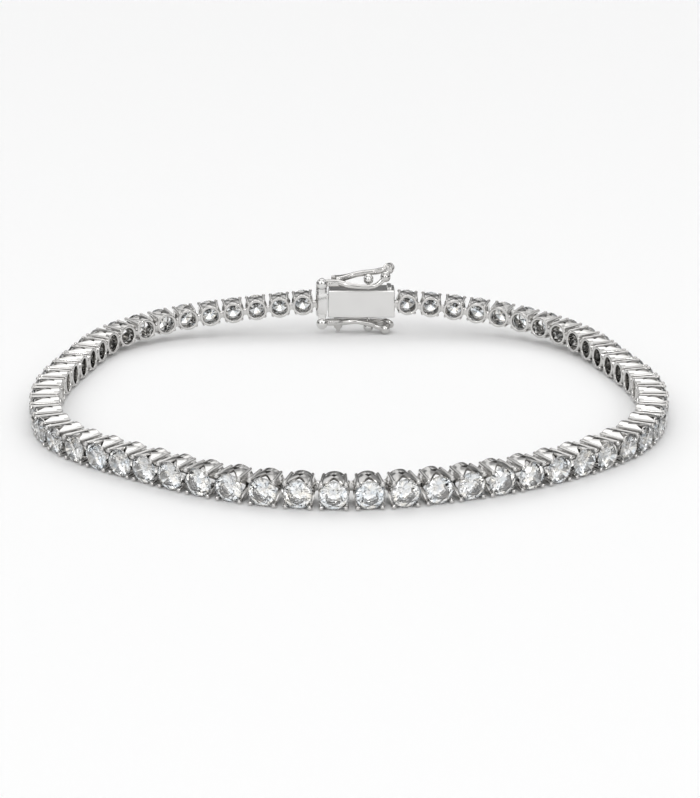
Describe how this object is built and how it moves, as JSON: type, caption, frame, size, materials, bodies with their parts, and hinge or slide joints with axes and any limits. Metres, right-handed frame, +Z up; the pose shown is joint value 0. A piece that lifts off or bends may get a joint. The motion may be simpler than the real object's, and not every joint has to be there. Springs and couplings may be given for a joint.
{
  "type": "tennis bracelet",
  "caption": "White metal tennis bracelet: a closed line of four prong links with round cut stones, a box clasp and a hinged safety latch above and below it.",
  "frame": {"origin": "middle of the underside of the whole piece, on the floor it stands on", "axes": "+Z up; -Y toward the front of the loop, +Y toward the clasp at the back; +X to the right seen from the front"},
  "size_m": [0.0634, 0.055, 0.0084],
  "materials": {
    "stone_line": "polished white metal with clear cut stones",
    "clasp_metal": "polished",
    "latch_metal": "polished"
  },
  "bodies": {
    "bracelet": {"stone_line_left": "stone_line", "stone_line_right": "stone_line", "clasp_box": "clasp_metal", "clasp_tongue": "clasp_metal"},
    "latch_top": {"safety_latch_top": "latch_metal"},
    "latch_bottom": {"safety_latch_bottom": "latch_metal"}
  },
  "joints": [
    {"name": "latch_top_hinge", "type": "hinge", "parent": "bracelet", "child": "latch_top", "pos_m": [-0.0032, 0.02536, 0.00623], "axis": [0, -1, 0], "range_deg": [0, 110]},
    {"name": "latch_bottom_hinge", "type": "hinge", "parent": "bracelet", "child": "latch_bottom", "pos_m": [-0.0032, 0.02536, 0.00141], "axis": [0, 1, 0], "range_deg": [0, 110]}
  ]
}
